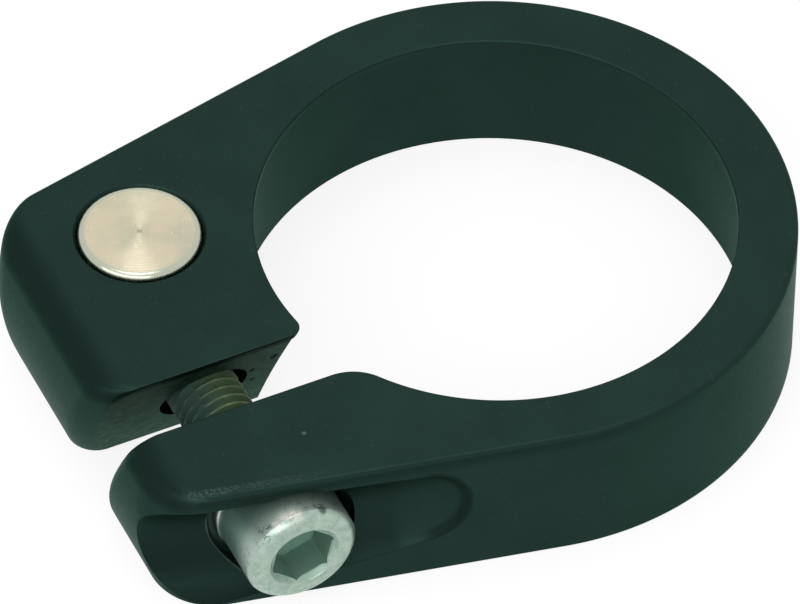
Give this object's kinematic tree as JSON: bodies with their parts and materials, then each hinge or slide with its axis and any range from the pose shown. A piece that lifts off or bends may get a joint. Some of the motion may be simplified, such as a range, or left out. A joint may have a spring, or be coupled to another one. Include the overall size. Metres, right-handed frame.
{
  "type": "seatpost clamp",
  "caption": "Split collar with a leaning cut, drawn closed round a seat tube by a socket screw that pulls on an upright barrel nut.",
  "frame": {"origin": "on the collar's axis, in the plane of its bottom face", "axes": "+Z along the collar's axis towards the lip, -X towards the ears, the screw along Y with its head on the -Y side"},
  "size_m": [0.0524, 0.0412, 0.0113],
  "materials": {
    "band": "matt black anodised",
    "nut": "turned, nickel plated",
    "screw": "matt zinc plated",
    "washer": "zinc plated"
  },
  "bodies": {
    "collar": {"clamp_band": "band"},
    "nut": {"barrel_nut": "nut"},
    "washer": {"head_washer": "washer"},
    "screw": {"clamp_screw": "screw"}
  },
  "joints": [
    {"name": "nut_swivel", "type": "hinge", "parent": "collar", "child": "nut", "pos_m": [-0.02265, 0.00875, 0.0055], "axis": [0, 0, 1], "range_deg": [-1, 1]},
    {"name": "screw_travel", "type": "slide", "parent": "nut", "child": "washer", "axis": [0, -1, 0], "range_m": [0, 0.0064]},
    {"name": "screw_turn", "type": "hinge", "parent": "washer", "child": "screw", "pos_m": [-0.02265, -0.018, 0.0055], "axis": [0, -1, 0], "range_deg": [0, 2880]}
  ],
  "couplings": [
    {"joint": "screw_turn", "follows": "screw_travel", "rad_per_m": 7854}
  ]
}
